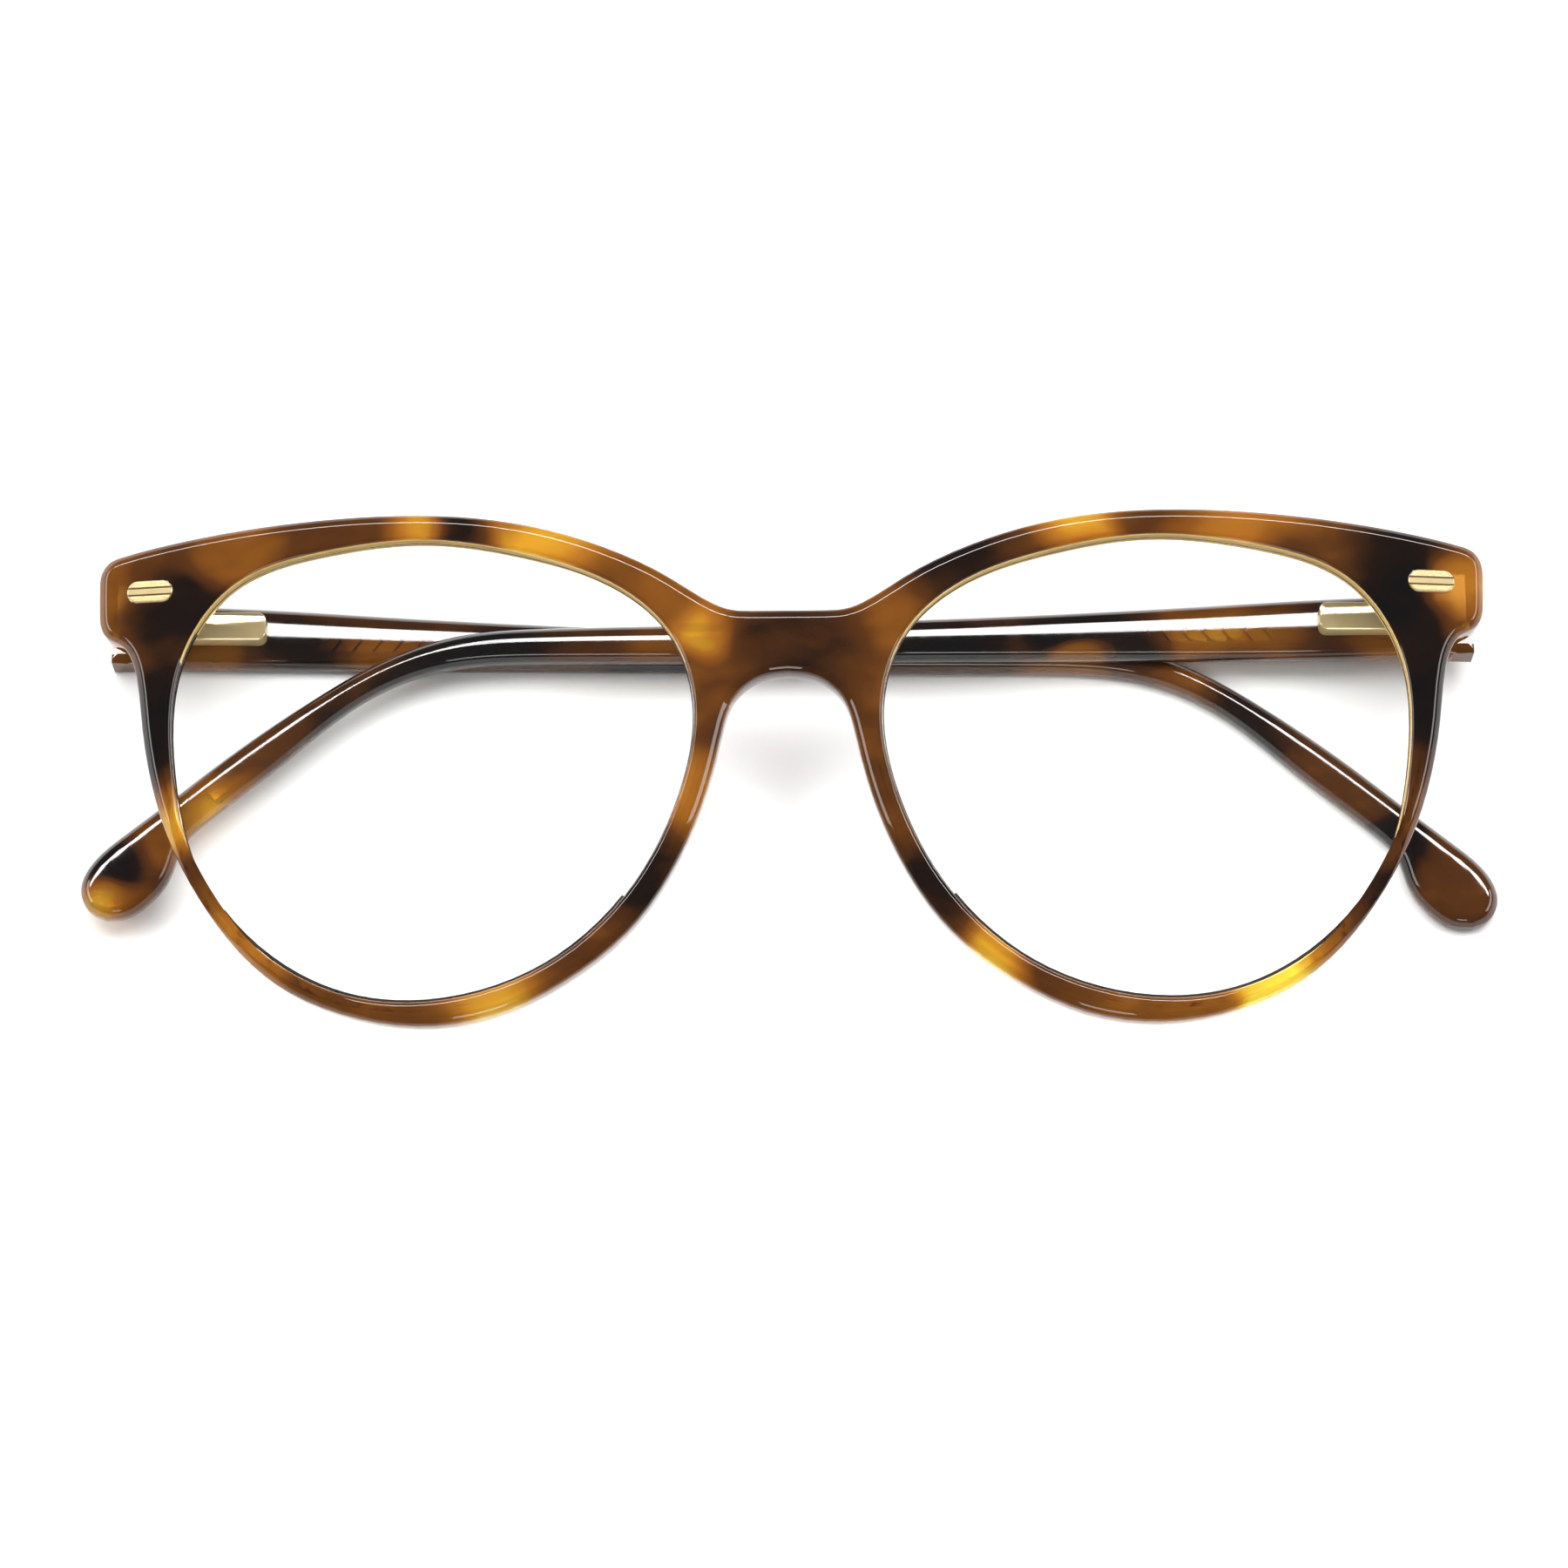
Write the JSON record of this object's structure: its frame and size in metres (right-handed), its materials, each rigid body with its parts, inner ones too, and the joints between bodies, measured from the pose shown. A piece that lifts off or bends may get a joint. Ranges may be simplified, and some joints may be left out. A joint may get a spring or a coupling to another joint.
{
  "type": "eyeglasses",
  "caption": "Round acetate eyeglasses with clear demo lenses, spring-hinged temples folded flat, gold plaques and hinge boxes.",
  "frame": {"origin": "on the table under the middle of the folded glasses, at the centre of the bounding box's base", "axes": "+X towards the wearer's left, +Y towards the top of the front, +Z out of the front, away from the face"},
  "size_m": [0.1414, 0.0512, 0.0218],
  "materials": {
    "acetate": "hand-polished tortoiseshell cellulose acetate, translucent amber with near-black clouds",
    "lens": "clear acrylic demonstration lens with a ground edge",
    "gold": "pale gold plate, bright, with fine stippled bands on the plaques",
    "steel": "plain nickel-silver wire and spring steel"
  },
  "bodies": {
    "front": {"front": "acetate", "lens_left": "lens", "lens_right": "lens", "nose_pad_left": "acetate", "nose_pad_right": "acetate", "plaque_left": "gold", "plaque_right": "gold", "front_hinge_left": "gold", "front_hinge_right": "gold", "hinge_screw_left": "gold", "hinge_screw_right": "gold"},
    "slider_left": {"spring_slider_left": "gold"},
    "temple_left": {"temple_left": "acetate", "spring_box_left": "gold", "spring_retainer_left": "steel", "flex_spring_left": "steel", "core_wire_left": "steel"},
    "slider_right": {"spring_slider_right": "gold"},
    "temple_right": {"temple_right": "acetate", "spring_box_right": "gold", "spring_retainer_right": "steel", "flex_spring_right": "steel", "core_wire_right": "steel"}
  },
  "joints": [
    {"name": "fold_left", "type": "hinge", "parent": "front", "child": "slider_left", "pos_m": [0.06548, 0.01861, 0.0066], "axis": [0, -1, 0], "range_deg": [0, 95.3]},
    {"name": "pull_left", "type": "slide", "parent": "slider_left", "child": "temple_left", "axis": [-1, 0, 0], "range_m": [0, 0.0012], "stiffness_N_per_m": 600, "springref_m": -0.003},
    {"name": "fold_right", "type": "hinge", "parent": "front", "child": "slider_right", "pos_m": [-0.06548, 0.01861, 0.0036], "axis": [0, 1, 0], "range_deg": [0, 92.7]},
    {"name": "pull_right", "type": "slide", "parent": "slider_right", "child": "temple_right", "axis": [1, 0, 0], "range_m": [0, 0.0012], "stiffness_N_per_m": 600, "springref_m": -0.003}
  ]
}
